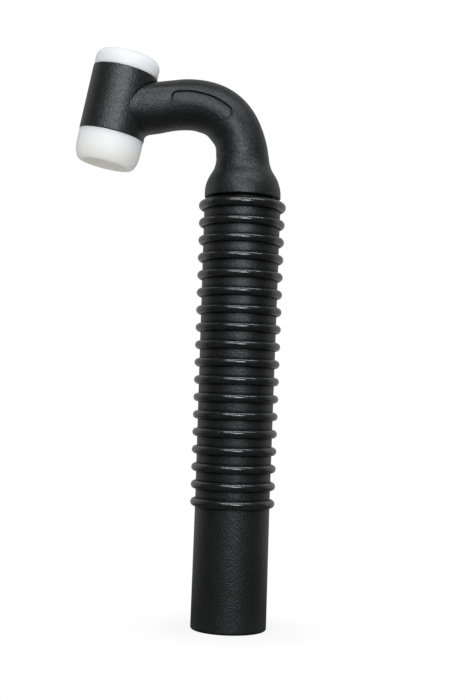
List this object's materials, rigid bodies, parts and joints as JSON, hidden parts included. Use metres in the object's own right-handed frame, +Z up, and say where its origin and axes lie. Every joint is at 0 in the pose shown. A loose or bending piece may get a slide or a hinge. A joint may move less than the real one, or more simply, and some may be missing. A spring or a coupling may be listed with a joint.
{
  "type": "tig torch",
  "caption": "Air-cooled TIG welding torch body: ribbed tubular handle, flexible neck bent to an angled head with a white cup gasket and rear gasket, open for a collet body and back cap.",
  "frame": {"origin": "centre of the handle's open lower end", "axes": "+Z up the handle's axis, the neck bends and the head points towards -X, Y across the torch"},
  "size_m": [0.0803, 0.033, 0.2177],
  "materials": {
    "handle_plastic": "black moulded rubber-like plastic, fine spark-eroded grain, satin ribs",
    "neck_rubber": "black silicone rubber, fine grain, soft sheen",
    "shell_plastic": "black moulding, fine grain, soft sheen",
    "gasket_white": "white PTFE, waxy, slightly translucent",
    "bush_phenolic": "black phenolic laminate, turned",
    "brass": "turned brass",
    "copper": "annealed copper tube",
    "tinned_braid": "tinned copper braid",
    "glass_sleeve": "woven glass sleeving, varnished"
  },
  "bodies": {
    "handle": {"handle": "handle_plastic", "handle_bush": "bush_phenolic", "bush_washer": "brass", "bush_nut": "brass", "rear_connector": "brass", "lower_ferrule": "brass"},
    "neck": {"neck_jacket": "neck_rubber", "braid_sleeve": "glass_sleeve", "copper_braid": "tinned_braid", "gas_tube": "copper"},
    "head": {"head_body": "brass", "head_shell": "shell_plastic", "upper_ferrule": "brass", "front_gasket": "gasket_white", "rear_gasket": "gasket_white"}
  },
  "joints": [
    {"name": "neck_bend", "type": "hinge", "parent": "handle", "child": "neck", "pos_m": [-0.001, 0, 0.1835], "axis": [0, 1, 0], "range_deg": [-20, 45], "deforming": ["neck_jacket", "braid_sleeve", "copper_braid", "gas_tube"]},
    {"name": "neck_swing", "type": "hinge", "parent": "neck", "child": "head", "pos_m": [-0.0189, 0, 0.198], "axis": [0.1942, 0, 0.981], "range_deg": [-25, 25], "deforming": ["neck_jacket", "braid_sleeve", "copper_braid", "gas_tube"]}
  ]
}
